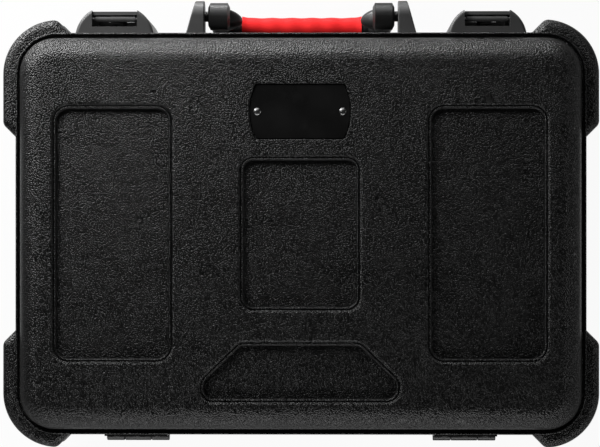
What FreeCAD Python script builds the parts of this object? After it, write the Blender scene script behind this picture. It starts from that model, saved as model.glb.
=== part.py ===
import FreeCAD, Part
import math
import os

# A moulded hard case lying on its base. Lengths are millimetres and angles are degrees.
# +Z is up from the resting face, -Y is the front with the handle and the latches, X runs side to side.

# Shells
BELT_WIDTH = 500.0
BELT_DEPTH = 352.0
BELT_CORNER_RADIUS = 36.0
BELT_HEIGHT = 33.0
BELT_STEP = 5.0
BASE_HEIGHT = 130.0
LID_HEIGHT = 62.0
SHELL_WALL = 4.0
WALL_DRAFT_DEGREES = 3.0
EDGE_RADIUS = 20.0
LIP_WIDTH = 2.0
LIP_RADIUS = 0.9
CHANNEL_DEPTH = 3.0
CHANNEL_FLOOR = 3.0
CHANNEL_RADIUS = 1.2
PARTING_GAP = 0.4

# Recessed panels pressed into the lid's face and the base's underside
PANEL_RECESS = 4.8
PANEL_WALL_RUN = 3.2
PANEL_EDGE_RADIUS = 3.0
PANEL_FLOOR_RADIUS = 1.4
SIDE_PANEL_WIDTH = 104.8
SIDE_PANEL_DEPTH = 223.5
SIDE_PANEL_CENTRE_X = 162.3
SIDE_PANEL_CORNER_RADIUS = 14.5
CENTRE_PANEL_WIDTH = 105.0
CENTRE_PANEL_DEPTH = 134.3
CENTRE_PANEL_CORNER_RADIUS = 12.0
TAPER_PANEL_NARROW_WIDTH = 105.1
TAPER_PANEL_WIDE_WIDTH = 173.9
TAPER_PANEL_DEPTH = 53.6
TAPER_PANEL_STRAIGHT = 20.4
TAPER_PANEL_CENTRE_Y = 119.8
TAPER_PANEL_CORNER_RADIUS = 12.0

# Badge plate
BADGE_WIDTH = 77.0
BADGE_DEPTH = 48.0
BADGE_BULGE = 5.5
BADGE_CENTRE_Y = -105.5
BADGE_RECESS = 2.6
BADGE_THICKNESS = 1.2
BADGE_CLEARANCE = 0.8
BADGE_CORNER_RADIUS = 2.4
BADGE_EDGE_RADIUS = 0.9
BADGE_PLATE_EDGE_RADIUS = 0.4
BADGE_RIVET_INSET = 7.0
BADGE_RIVET_HEAD_RADIUS = 3.2
BADGE_RIVET_HEAD_HEIGHT = 1.4
BADGE_RIVET_SHANK_RADIUS = 1.6

# Metal rim with a tongue on the base and a groove on the lid
RIM_LIP = 1.2
RIM_LIP_HEIGHT = 8.0
RIM_WEB = 2.0
RIM_REACH = 16.0
RIM_SKIRT = 1.5
RIM_SKIRT_HEIGHT = 12.0
TONGUE_INSET = 8.0
TONGUE_WIDTH = 2.0
TONGUE_HEIGHT = 2.0
TONGUE_CLEARANCE = 0.4
GROOVE_WALL = 1.5

# Foam lining
FOAM_GAP = 0.4
FLOOR_FOAM = 12.0
LID_FOAM = 20.0
CAVITY_WIDTH = 457.0
CAVITY_DEPTH = 305.0
CAVITY_CORNER_RADIUS = 4.0

# Corner bumpers
BUMPER_PROUD = 12.0
BUMPER_LOW = 13.5
BUMPER_SETBACK = 2.5
BUMPER_SIDE_LEG = 104.0
BUMPER_FRONT_LEG = 59.5
BUMPER_END_RADIUS = 7.5
BUMPER_EDGE_RADIUS = 7.0

# Rear hinges
HINGE_CENTRE_X = 144.7
HINGE_WIDTH = 55.5
HINGE_AXIS_OUT = 3.0
HINGE_KNUCKLE_RADIUS = 4.8
HINGE_KNUCKLE_CHAMFER = 0.5
HINGE_PIN_RADIUS = 2.4
HINGE_LEAF = 2.0
HINGE_LEAF_HEIGHT = 26.0
HINGE_LEAF_START = 6.2
HINGE_MIDDLE_SHARE = 0.42
HINGE_SIDE_GAP = 0.3
HINGE_POCKET_CLEARANCE = 0.6
HINGE_RIVET_SPACING = 18.0
HINGE_RIVET_HEIGHT = 17.0

# Rivets and screws
RIVET_SHANK_RADIUS = 1.8
RIVET_HEAD_RADIUS = 3.2
RIVET_HEAD_HEIGHT = 1.3
RIVET_TAIL_HEIGHT = 1.0
RIVET_CROWN_SHARE = 0.6
RIVET_ROOM = 0.6
SEAT_CLEARANCE = 0.02
RUNNING_CLEARANCE = 0.08
CUT_OVERRUN = 5.0

# Latches
LATCH_CENTRE_X = 164.2
LATCH_WIDTH = 69.2
LATCH_CROWN_WIDTH = 41.0
LATCH_PROUD = 20.8
LATCH_SIDE_BULGE = 2.9
LATCH_SPLIT = 0.8
LATCH_KEEPER_HEIGHT = 22.0
LATCH_HOUSING_HEIGHT = 68.0
LATCH_END_RADIUS = 3.0
LATCH_CHANNEL_WIDTH = 39.8
LATCH_CHANNEL_FLOOR = 6.5
LATCH_PIN_HEIGHT = 15.5
LATCH_PIN_OUT = 13.6
LATCH_PIN_RADIUS = 1.4
LATCH_PIN_BITE = 6.5
LATCH_BARREL_RADIUS = 2.7
LATCH_BARREL_WIDTH = 35.6
LATCH_SCREW_SPACING = 54.0
LATCH_SCREW_HEIGHT = 20.0
LATCH_SCREW_BITE = 8.0
LEVER_WIDTH = 38.8
LEVER_THICKNESS = 3.0
LEVER_SETBACK = 0.9
LEVER_TOP = 18.5
LEVER_END_GAP = 2.0
LEVER_LIP_HEIGHT = 5.0
LEVER_LIP_PROUD = 2.6
LEVER_SPUR_WIDTH = 7.8
LEVER_SPUR_REACH = 4.4
LEVER_SPUR_DROP = 2.0
LEVER_SPUR_HEIGHT = 2.0
LEVER_TAB_WIDTH = 12.0
LEVER_TAB_HEIGHT = 4.0
LEVER_TAB_RISE = 10.0
LEVER_TAB_INNER = 9.0
SCOOP_RADIUS = 5.0
SCOOP_WIDTH = 24.0
BOLT_WIDTH = 5.0
BOLT_THICKNESS = 3.0
BOLT_OUT = 10.6
BOLT_TAB_GAP = 2.0
BOLT_LOCK_GAP = 1.0
BOLT_CLEARANCE = 0.3
EYE_CLEARANCE = 0.6
LOCK_ROOM = 24.0
LOCK_RISE = 11.0
LOCK_RADIUS = 6.5
LOCK_INNER = 14.4
LOCK_FACE_SETBACK = 0.6
KEYWAY_WIDTH = 1.4
KEYWAY_HEIGHT = 8.0
KEYWAY_DEPTH = 4.0

# Carrying handle
HANDLE_PIVOT_LOW = 18.0
HANDLE_PIVOT_OUT = 18.7
HANDLE_EAR_RADIUS = 14.0
HANDLE_EAR_INNER_X = 86.6
HANDLE_EAR_FOOT = 17.0
HANDLE_EAR_TOP = 8.0
HANDLE_EAR_EDGE = 1.0
HANDLE_PLATE = 2.5
HANDLE_PLATE_INNER_X = 66.0
HANDLE_PLATE_OUTER_X = 122.0
HANDLE_PLATE_CORNER_RADIUS = 4.0
HANDLE_RIVET_INSET = 8.0
HANDLE_PIN_RADIUS = 3.0
HANDLE_PIN_COLLAR_RADIUS = 4.6
HANDLE_PIN_EAR_BITE = 10.0
HANDLE_PIN_BOSS_BITE = 13.0
HANDLE_SIDE_GAP = 0.25
BOSS_INNER_X = 64.0
BOSS_OUTER_X = 83.4
BOSS_RADIUS = 12.2
BOSS_FACE_RADIUS = 8.4
BOSS_CHAMFER = 2.0
GRIP_LOW = 60.0
GRIP_OUT = 11.0
GRIP_LENGTH = 108.8
GRIP_HALF_WIDTH = 13.0
GRIP_HALF_THICKNESS = 9.6
GRIP_RIDGE = 0.25
GRIP_RIDGE_COUNT = 6
GRIP_RIDGE_STEPS = 4
GRIP_FLARE = 1.6
GRIP_FLARE_SHARE = 0.18
GRIP_END_GAP = 0.2
CORE_RADIUS = 6.0
ARM_START_HALF_WIDTH = 8.6
ARM_START_HALF_THICKNESS = 8.8
ARM_ELBOW_RADIUS = 16.0
ARM_SECTION_COUNT = 4
SECTION_POINT_COUNT = 16
SECTION_ROUNDNESS = 0.8

# Places worked out from the sizes above
HALF_WIDTH = BELT_WIDTH / 2
HALF_DEPTH = BELT_DEPTH / 2
PARTING = BASE_HEIGHT
RIM_FACE = PARTING_GAP / 2
RIM_SEAT = RIM_FACE + RIM_WEB
DRAFT_SLOPE = math.tan(math.radians(WALL_DRAFT_DEGREES))
CHANNEL_LOW = BELT_HEIGHT - CHANNEL_DEPTH
BELT_CEILING = CHANNEL_LOW - CHANNEL_FLOOR
PANEL_BACK_SPREAD = SHELL_WALL * math.hypot(PANEL_WALL_RUN, PANEL_RECESS) / PANEL_RECESS
BADGE_TOP = LID_HEIGHT - BADGE_RECESS + BADGE_THICKNESS
HINGE_MIDDLE_WIDTH = HINGE_WIDTH * HINGE_MIDDLE_SHARE
HINGE_END_WIDTH = (HINGE_WIDTH - HINGE_MIDDLE_WIDTH) / 2 - HINGE_SIDE_GAP
LEVER_OUTER = LATCH_PROUD - LEVER_SETBACK
LEVER_INNER = LEVER_OUTER - LEVER_THICKNESS
LATCH_CHANNEL_LOW = LATCH_HOUSING_HEIGHT - LOCK_ROOM
LEVER_LOW = LATCH_CHANNEL_LOW - LEVER_END_GAP
LEVER_TAB_TOP = LEVER_LOW - LEVER_TAB_RISE
LEVER_TAB_LOW = LEVER_TAB_TOP + LEVER_TAB_HEIGHT
LOCK_LOW = LATCH_HOUSING_HEIGHT - LOCK_RISE
BOLT_TOP = LEVER_TAB_LOW + BOLT_TAB_GAP
BOLT_LOW = LOCK_LOW - BOLT_LOCK_GAP
HANDLE_RIVET_TOP = RIM_SKIRT_HEIGHT + RIVET_HEAD_RADIUS + RIVET_ROOM
HANDLE_RIVET_LOW = BELT_CEILING - RIVET_HEAD_RADIUS - RIVET_ROOM
TOLERANCE = SEAT_CLEARANCE / 2

Vector = FreeCAD.Vector


# Outlines and simple solids

def at_height(z):
    """Lays flat plan points at one height."""
    return lambda a, b: Vector(a, b, z)


def on_front(x, z):
    """Lays (across, outward) points on a level plane at the front of the belt."""
    return lambda a, b: Vector(x + a, -(HALF_DEPTH + b), z)


def across_front(x):
    """Lays (height over the parting plane, outward) points on a plane square to X."""
    return lambda a, b: Vector(x, -(HALF_DEPTH + b), PARTING + a)


def rounded_polygon(points, radius, place, inset=0):
    """Closed wire through the points with rounded corners, moved in from every side by an inset."""
    count = len(points)
    arc_share = (radius - inset) / radius
    flat = [Vector(a, b, 0) for a, b in points]
    corners = []
    for index in range(count):
        corner = flat[index]
        back = flat[index - 1].sub(corner).normalize()
        forward = flat[(index + 1) % count].sub(corner).normalize()
        half_angle = back.getAngle(forward) / 2
        reach = radius / math.tan(half_angle)
        middle = back.add(forward).normalize()
        centre = corner.add(middle * (radius / math.sin(half_angle)))
        touches = (corner.add(back * reach), centre.sub(middle * radius), corner.add(forward * reach))
        corners.append([centre.add(touch.sub(centre) * arc_share) for touch in touches])
    edges = []
    for index in range(count):
        start, top, end = corners[index]
        follow = corners[(index + 1) % count][0]
        arc = Part.Arc(place(start.x, start.y), place(top.x, top.y), place(end.x, end.y))
        edges.append(arc.toShape())
        edges.append(Part.makeLine(place(end.x, end.y), place(follow.x, follow.y)))
    return Part.Wire(edges)


def rounded_rectangle(half_x, half_y, radius, place):
    points = [(half_x, -half_y), (half_x, half_y), (-half_x, half_y), (-half_x, -half_y)]
    return rounded_polygon(points, radius, place)


def slab(half_x, half_y, radius, low, high):
    """Upright block with a rounded-rectangle plan, centred on the Z axis."""
    wire = rounded_rectangle(half_x, half_y, radius, at_height(low))
    return Part.Face(wire).extrude(Vector(0, 0, high - low))


def belt_slab(inset, low, high):
    return slab(HALF_WIDTH - inset, HALF_DEPTH - inset, BELT_CORNER_RADIUS - inset, low, high)


def belt_ring(outer_inset, inner_inset, low, high):
    """Band that follows the belt's outline between two insets."""
    hollow = belt_slab(inner_inset, low - CUT_OVERRUN, high + CUT_OVERRUN)
    return belt_slab(outer_inset, low, high).cut(hollow)


def wall_inset(height):
    """How far the drafted wall lies inside the belt's face at a height over the parting plane."""
    return BELT_STEP + (height - BELT_HEIGHT) * DRAFT_SLOPE


def wall_body(extra_inset, low, high):
    """Solid inside the drafted wall, as a loft between its outlines at two heights."""
    wires = []
    for height in (low, high):
        inset = wall_inset(height) + extra_inset
        half_x = HALF_WIDTH - inset
        half_y = HALF_DEPTH - inset
        wires.append(rounded_rectangle(half_x, half_y, BELT_CORNER_RADIUS - inset, at_height(height)))
    return Part.makeLoft(wires, True, True)


def box_between(low, high):
    corner = Vector(min(low.x, high.x), min(low.y, high.y), min(low.z, high.z))
    size = Vector(abs(high.x - low.x), abs(high.y - low.y), abs(high.z - low.z))
    return Part.makeBox(size.x, size.y, size.z, corner)


def front_box(x_low, x_high, out_low, out_high, height_low, height_high):
    """Box placed by outward distance from the belt's front and height over the parting plane."""
    low = Vector(x_low, -(HALF_DEPTH + out_low), PARTING + height_low)
    high = Vector(x_high, -(HALF_DEPTH + out_high), PARTING + height_high)
    return box_between(low, high)


def rod(radius, start, end):
    direction = end.sub(start)
    return Part.makeCylinder(radius, direction.Length, start, direction)


def edges_at_height(shape, height):
    """Edges that lie wholly in one level plane."""
    found = []
    for edge in shape.Edges:
        box = edge.BoundBox
        if abs(box.ZMin - height) < TOLERANCE and abs(box.ZMax - height) < TOLERANCE:
            found.append(edge)
    return found


def edges_within(edges, x_low, x_high, y_low, y_high):
    """Those of the edges that lie inside a plan rectangle."""
    found = []
    for edge in edges:
        box = edge.BoundBox
        if box.XMin > x_low and box.XMax < x_high and box.YMin > y_low and box.YMax < y_high:
            found.append(edge)
    return found


def to_lid(shape):
    """Moves a piece built over the parting plane onto the lid."""
    return shape.translated(Vector(0, 0, PARTING))


def to_base(shape):
    """Turns a piece built over the parting plane down onto the base."""
    return shape.mirror(Vector(0, 0, 0), Vector(0, 0, 1)).translated(Vector(0, 0, PARTING))


def mirrored_x(shape):
    return shape.mirror(Vector(0, 0, 0), Vector(1, 0, 0))


def mirrored_y(shape):
    return shape.mirror(Vector(0, 0, 0), Vector(0, 1, 0))


# Fasteners

def rivet(face, inward, grip_length):
    """Crowned head on a face, shank through the stack and a flat tail behind it."""
    outward = inward * -1
    head = Part.makeCone(
        RIVET_HEAD_RADIUS, RIVET_HEAD_RADIUS * RIVET_CROWN_SHARE, RIVET_HEAD_HEIGHT, face, outward)
    tail_face = face.add(inward * grip_length)
    shank = rod(RIVET_SHANK_RADIUS, face, tail_face)
    tail = Part.makeCylinder(RIVET_HEAD_RADIUS, RIVET_TAIL_HEIGHT, tail_face, inward)
    return head.fuse([shank, tail])


def rivet_hole(face, inward, grip_length):
    start = face.add(inward * -CUT_OVERRUN)
    end = face.add(inward * (grip_length + CUT_OVERRUN))
    return rod(RIVET_SHANK_RADIUS + SEAT_CLEARANCE, start, end)


# Shells

def side_panels():
    """Plan points and corner radius of the two long panels."""
    half_x = SIDE_PANEL_WIDTH / 2
    half_y = SIDE_PANEL_DEPTH / 2
    panels = []
    for side in (-1, 1):
        left = side * SIDE_PANEL_CENTRE_X - half_x
        right = side * SIDE_PANEL_CENTRE_X + half_x
        points = [(right, -half_y), (right, half_y), (left, half_y), (left, -half_y)]
        panels.append((points, SIDE_PANEL_CORNER_RADIUS))
    return panels


def middle_panels():
    """Plan points and corner radius of the centre panel and the tapered one behind it."""
    half_x = CENTRE_PANEL_WIDTH / 2
    half_y = CENTRE_PANEL_DEPTH / 2
    centre = [(half_x, -half_y), (half_x, half_y), (-half_x, half_y), (-half_x, -half_y)]
    narrow = TAPER_PANEL_NARROW_WIDTH / 2
    wide = TAPER_PANEL_WIDE_WIDTH / 2
    near = TAPER_PANEL_CENTRE_Y - TAPER_PANEL_DEPTH / 2
    far = TAPER_PANEL_CENTRE_Y + TAPER_PANEL_DEPTH / 2
    turn = far - TAPER_PANEL_STRAIGHT
    taper = [(-narrow, near), (narrow, near), (wide, turn), (wide, far), (-wide, far), (-wide, turn)]
    return [(centre, CENTRE_PANEL_CORNER_RADIUS), (taper, TAPER_PANEL_CORNER_RADIUS)]


def panel_body(panel, top, low, high, spread):
    """Solid between two heights that follows a panel's sloping wall, grown outward by a spread."""
    points, radius = panel
    wires = []
    for height in (low, high):
        inset = (top - height) * PANEL_WALL_RUN / PANEL_RECESS - spread
        wires.append(rounded_polygon(points, radius, at_height(height), inset))
    return Part.makeLoft(wires, True, True)


def badge_wire(clearance, height):
    """Badge outline: straight long edges and bowed ends."""
    half_x = BADGE_WIDTH / 2 - clearance
    half_y = BADGE_DEPTH / 2 - clearance
    bow = half_x + BADGE_BULGE
    place = at_height(height)
    edges = []
    for side in (1, -1):
        start = place(side * half_x, BADGE_CENTRE_Y - side * half_y)
        middle = place(side * bow, BADGE_CENTRE_Y)
        end = place(side * half_x, BADGE_CENTRE_Y + side * half_y)
        edges.append(Part.Arc(start, middle, end).toShape())
        edges.append(Part.makeLine(end, place(-side * half_x, BADGE_CENTRE_Y + side * half_y)))
    return Part.Wire(edges)


def badge_block(clearance, low, high):
    """Upright block with the badge's outline and rounded corners."""
    block = Part.Face(badge_wire(clearance, low)).extrude(Vector(0, 0, high - low))
    upright = [edge for edge in block.Edges if edge.BoundBox.ZLength > (high - low) / 2]
    return block.makeFillet(BADGE_CORNER_RADIUS - clearance, upright)


def press_badge(outer, top):
    """Sinks the badge's recess into a flat top and rounds its edge."""
    recess = badge_block(0, top - BADGE_RECESS, top + CUT_OVERRUN)
    outer = outer.cut(recess)
    box = recess.BoundBox
    limits = (
        box.XMin - TOLERANCE, box.XMax + TOLERANCE, box.YMin - TOLERANCE, box.YMax + TOLERANCE)
    return outer.makeFillet(BADGE_EDGE_RADIUS, edges_within(edges_at_height(outer, top), *limits))


def press_panel(outer, panel, top):
    """Presses one panel into a flat top and rounds its edge and its floor."""
    floor = top - PANEL_RECESS
    outer = outer.cut(panel_body(panel, top, floor, top + CUT_OVERRUN, 0))
    box = rounded_polygon(*panel, at_height(top)).BoundBox
    limits = (
        box.XMin - PANEL_EDGE_RADIUS, box.XMax + PANEL_EDGE_RADIUS,
        box.YMin - PANEL_EDGE_RADIUS, box.YMax + PANEL_EDGE_RADIUS)
    outer = outer.makeFillet(PANEL_EDGE_RADIUS, edges_within(edges_at_height(outer, top), *limits))
    return outer.makeFillet(PANEL_FLOOR_RADIUS, edges_within(edges_at_height(outer, floor), *limits))


def belt_edges(outside, height, inset):
    """Edges at a height that lie at an inset from the belt's outline."""
    found = []
    for edge in edges_at_height(outside, height):
        box = edge.BoundBox
        reach_x = max(box.XMax, -box.XMin) - HALF_WIDTH
        reach_y = max(box.YMax, -box.YMin) - HALF_DEPTH
        if abs(max(reach_x, reach_y) + inset) < TOLERANCE:
            found.append(edge)
    return found


def shell_outside(height):
    """Belt and drafted wall as one solid, with a rounded face edge and a channel behind the belt's lip."""
    body = wall_body(0, RIM_SEAT, height)
    body = body.makeFillet(EDGE_RADIUS, edges_at_height(body, height))
    channel = belt_slab(LIP_WIDTH, CHANNEL_LOW, BELT_HEIGHT + CUT_OVERRUN)
    outside = belt_slab(0, RIM_SEAT, BELT_HEIGHT).cut(channel).fuse(body)
    for inset in (0, LIP_WIDTH):
        outside = outside.makeFillet(LIP_RADIUS, belt_edges(outside, BELT_HEIGHT, inset))
    for inset in (LIP_WIDTH, wall_inset(CHANNEL_LOW)):
        outside = outside.makeFillet(CHANNEL_RADIUS, belt_edges(outside, CHANNEL_LOW, inset))
    return outside


def shell_inside(height, panels):
    """Hollow of a shell; it steps in behind each pressed panel so the wall keeps its thickness."""
    ceiling = height - SHELL_WALL
    body = wall_body(SHELL_WALL, RIM_SEAT - CUT_OVERRUN, ceiling)
    body = body.makeFillet(EDGE_RADIUS - SHELL_WALL, edges_at_height(body, ceiling))
    inside = belt_slab(SHELL_WALL, RIM_SEAT - CUT_OVERRUN, BELT_CEILING).fuse(body)
    for panel in panels:
        inside = inside.cut(panel_body(
            panel, height, ceiling - PANEL_RECESS, ceiling + CUT_OVERRUN, PANEL_BACK_SPREAD))
    return inside


def rim_rebate():
    """Room at the shell's rim for the outer lip of the metal rim."""
    return belt_slab(-CUT_OVERRUN, RIM_SEAT - CUT_OVERRUN, RIM_LIP_HEIGHT).cut(
        belt_slab(RIM_LIP, RIM_SEAT - CUT_OVERRUN, RIM_LIP_HEIGHT))


def hinge_pockets():
    """Room for both hinge barrels where they reach into the belts."""
    pockets = []
    radius = HINGE_KNUCKLE_RADIUS + HINGE_POCKET_CLEARANCE
    for side in (-1, 1):
        x = side * HINGE_CENTRE_X
        half = HINGE_WIDTH / 2 + HINGE_POCKET_CLEARANCE
        y = HALF_DEPTH + HINGE_AXIS_OUT
        pockets.append(rod(radius, Vector(x - half, y, 0), Vector(x + half, y, 0)))
    return Part.makeCompound(pockets)


def belt_holes():
    """Holes for the hinge rivets and the latch screws, over the parting plane."""
    holes = [rivet_hole(*place) for place in hinge_rivet_places()]
    return holes + [screw_hole(x) for x in latch_screw_places()]


def lid_shell():
    panels = side_panels() + middle_panels()
    outside = shell_outside(LID_HEIGHT)
    for panel in panels:
        outside = press_panel(outside, panel, LID_HEIGHT)
    outside = press_badge(outside, LID_HEIGHT)
    badge_back = badge_block(-SHELL_WALL, LID_HEIGHT - BADGE_RECESS - SHELL_WALL, LID_HEIGHT)
    inside = shell_inside(LID_HEIGHT, panels).cut(badge_back)
    shell = outside.cut(inside).cut([rim_rebate(), hinge_pockets()])
    return to_lid(shell.cut(belt_holes() + badge_rivet_holes()))


def base_shell():
    panels = side_panels()
    outside = shell_outside(BASE_HEIGHT)
    for panel in panels:
        outside = press_panel(outside, panel, BASE_HEIGHT)
    shell = outside.cut(shell_inside(BASE_HEIGHT, panels))
    shell = shell.cut([rim_rebate(), hinge_pockets()] + belt_holes())
    return to_base(shell).cut([rivet_hole(*place) for place in handle_rivet_places()])


# Metal rims

def rim_frame():
    """Lip, web and skirt that both rims share."""
    lip = belt_ring(0, RIM_LIP, RIM_FACE, RIM_LIP_HEIGHT)
    web = belt_ring(0, RIM_REACH, RIM_FACE, RIM_SEAT)
    skirt = belt_ring(SHELL_WALL, SHELL_WALL + RIM_SKIRT, RIM_FACE, RIM_SKIRT_HEIGHT)
    return web.fuse([lip, skirt])


def base_rim():
    tongue = belt_ring(TONGUE_INSET, TONGUE_INSET + TONGUE_WIDTH, RIM_FACE - TONGUE_HEIGHT, RIM_SEAT)
    rim = rim_frame().fuse(tongue).cut(hinge_pockets())
    return to_base(rim.removeSplitter())


def lid_rim():
    groove_outer = TONGUE_INSET - TONGUE_CLEARANCE
    groove_inner = TONGUE_INSET + TONGUE_WIDTH + TONGUE_CLEARANCE
    groove_top = TONGUE_HEIGHT + TONGUE_CLEARANCE
    channel = belt_ring(
        groove_outer - GROOVE_WALL, groove_inner + GROOVE_WALL, RIM_FACE, groove_top + GROOVE_WALL)
    groove = belt_ring(groove_outer, groove_inner, RIM_FACE - CUT_OVERRUN, groove_top)
    rim = rim_frame().fuse(channel).cut([groove, hinge_pockets()])
    return to_lid(rim.removeSplitter())


# Foam

def pad_inset(height):
    """Inset that keeps a pad clear of the rounded inner edge of a shell."""
    radius = EDGE_RADIUS - SHELL_WALL
    drop = max(radius - PANEL_RECESS, 0)
    curve = radius - math.sqrt(max(radius ** 2 - drop ** 2, 0))
    return wall_inset(height) + SHELL_WALL + curve + FOAM_GAP


def foam_pad(height, thickness):
    """Slab that lies against the pressed panels inside a shell."""
    top = height - SHELL_WALL - PANEL_RECESS
    return belt_slab(pad_inset(height), top - thickness, top)


def base_foam_walls():
    low = RIM_SEAT + FOAM_GAP
    high = BASE_HEIGHT - SHELL_WALL - PANEL_RECESS - FLOOR_FOAM
    block = wall_body(SHELL_WALL + FOAM_GAP, low, high)
    cavity = slab(
        CAVITY_WIDTH / 2, CAVITY_DEPTH / 2, CAVITY_CORNER_RADIUS, low - CUT_OVERRUN, high + CUT_OVERRUN)
    return to_base(block.cut(cavity))


# Bumpers

def bumper():
    """Corner bumper for the rear right corner, built over the parting plane."""
    high = BELT_HEIGHT - BUMPER_SETBACK
    ring = belt_ring(-BUMPER_PROUD, 0, BUMPER_LOW, high)
    reach = BUMPER_PROUD + CUT_OVERRUN
    side_end = HALF_DEPTH + BUMPER_PROUD - BUMPER_SIDE_LEG
    back_end = HALF_WIDTH + BUMPER_PROUD - BUMPER_FRONT_LEG
    points = [
        Vector(HALF_WIDTH, side_end, BUMPER_LOW),
        Vector(HALF_WIDTH + reach, side_end + reach, BUMPER_LOW),
        Vector(HALF_WIDTH + reach, HALF_DEPTH + reach, BUMPER_LOW),
        Vector(back_end + reach, HALF_DEPTH + reach, BUMPER_LOW),
        Vector(back_end, HALF_DEPTH, BUMPER_LOW),
    ]
    sector = Part.Face(Part.makePolygon(points + points[:1])).extrude(Vector(0, 0, high - BUMPER_LOW))
    piece = ring.common(sector)
    ends = []
    for edge in piece.Edges:
        middle = edge.CenterOfMass
        on_side = abs((middle.x - HALF_WIDTH) - (middle.y - side_end)) < TOLERANCE
        on_back = abs((middle.x - back_end) - (middle.y - HALF_DEPTH)) < TOLERANCE
        proud = max(middle.x - HALF_WIDTH, middle.y - HALF_DEPTH) > BUMPER_PROUD / 2 + TOLERANCE
        if proud and (on_side or on_back):
            ends.append(edge)
    piece = piece.makeFillet(BUMPER_END_RADIUS, ends)
    belt = belt_slab(-SEAT_CLEARANCE, BUMPER_LOW, high)
    outer_edges = []
    for edge in edges_at_height(piece, BUMPER_LOW) + edges_at_height(piece, high):
        middle = edge.valueAt((edge.FirstParameter + edge.LastParameter) / 2)
        if not belt.isInside(middle, TOLERANCE, True):
            outer_edges.append(edge)
    return piece.makeFillet(BUMPER_EDGE_RADIUS, outer_edges)


# Hinges

def hinge_rivet_places():
    """Face point, inward direction and stack thickness of each hinge rivet, over the parting plane."""
    places = []
    for side in (-1, 1):
        for step in (-1, 0, 1):
            x = side * HINGE_CENTRE_X + step * HINGE_RIVET_SPACING
            face = Vector(x, HALF_DEPTH + HINGE_LEAF, HINGE_RIVET_HEIGHT)
            places.append((face, Vector(0, -1, 0), HINGE_LEAF + SHELL_WALL))
    return places


def hinge_leaf(side, knuckle_spans):
    """One leaf, built over the parting plane, with knuckles on the given spans along X."""
    x = side * HINGE_CENTRE_X
    half = HINGE_WIDTH / 2
    axis_y = HALF_DEPTH + HINGE_AXIS_OUT
    plate = box_between(
        Vector(x - half, HALF_DEPTH, HINGE_LEAF_START),
        Vector(x + half, HALF_DEPTH + HINGE_LEAF, HINGE_LEAF_HEIGHT))
    pieces = []
    for start, end in knuckle_spans:
        knuckle = rod(HINGE_KNUCKLE_RADIUS, Vector(x + start, axis_y, 0), Vector(x + end, axis_y, 0))
        rims = [edge for edge in knuckle.Edges if edge.Closed]
        pieces.append(knuckle.makeChamfer(HINGE_KNUCKLE_CHAMFER, rims))
        pieces.append(box_between(
            Vector(x + start, HALF_DEPTH, 0), Vector(x + end, HALF_DEPTH + HINGE_LEAF, HINGE_LEAF_START)))
    leaf = plate.fuse(pieces)
    bore_start = Vector(x - HINGE_WIDTH, axis_y, 0)
    bore_end = Vector(x + HINGE_WIDTH, axis_y, 0)
    bore = rod(HINGE_PIN_RADIUS + RUNNING_CLEARANCE, bore_start, bore_end)
    return leaf.cut([bore] + [rivet_hole(*place) for place in hinge_rivet_places()]).removeSplitter()


def lid_hinge_leaf(side):
    half = HINGE_MIDDLE_WIDTH / 2
    return to_lid(hinge_leaf(side, [(-half, half)]))


def base_hinge_leaf(side):
    half = HINGE_WIDTH / 2
    spans = [(-half, HINGE_END_WIDTH - half), (half - HINGE_END_WIDTH, half)]
    return to_base(hinge_leaf(side, spans))


def hinge_pin(side):
    half = HINGE_WIDTH / 2
    y = HALF_DEPTH + HINGE_AXIS_OUT
    x = side * HINGE_CENTRE_X
    return rod(HINGE_PIN_RADIUS, Vector(x - half, y, PARTING), Vector(x + half, y, PARTING))


def hinge_rivets():
    return Part.makeCompound([rivet(*place) for place in hinge_rivet_places()])


# Badge

def badge_rivet_places():
    x = BADGE_WIDTH / 2 + BADGE_BULGE - BADGE_RIVET_INSET
    return [Vector(side * x, BADGE_CENTRE_Y, BADGE_TOP) for side in (-1, 1)]


def badge_rivet_shank(place, radius, length):
    return rod(radius, place, place.sub(Vector(0, 0, length)))


def badge_rivet_holes():
    radius = BADGE_RIVET_SHANK_RADIUS + SEAT_CLEARANCE
    length = BADGE_THICKNESS + SHELL_WALL + CUT_OVERRUN
    return [badge_rivet_shank(place, radius, length) for place in badge_rivet_places()]


def badge_plate():
    plate = badge_block(BADGE_CLEARANCE, LID_HEIGHT - BADGE_RECESS, BADGE_TOP)
    plate = plate.makeFillet(BADGE_PLATE_EDGE_RADIUS, edges_at_height(plate, BADGE_TOP))
    return to_lid(plate.cut(badge_rivet_holes()))


def badge_rivets():
    """Two domed rivets with shanks down to the inner face of the lid."""
    rise = BADGE_RIVET_HEAD_HEIGHT
    dome_radius = (BADGE_RIVET_HEAD_RADIUS ** 2 + rise ** 2) / (2 * rise)
    rivets = []
    for place in badge_rivet_places():
        sphere = Part.makeSphere(dome_radius, place.add(Vector(0, 0, rise - dome_radius)))
        above = Part.makeCylinder(BADGE_RIVET_HEAD_RADIUS + CUT_OVERRUN, dome_radius, place)
        shank = badge_rivet_shank(place, BADGE_RIVET_SHANK_RADIUS, BADGE_THICKNESS + SHELL_WALL)
        rivets.append(sphere.common(above).fuse(shank))
    return to_lid(Part.makeCompound(rivets))


# Latches

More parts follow.
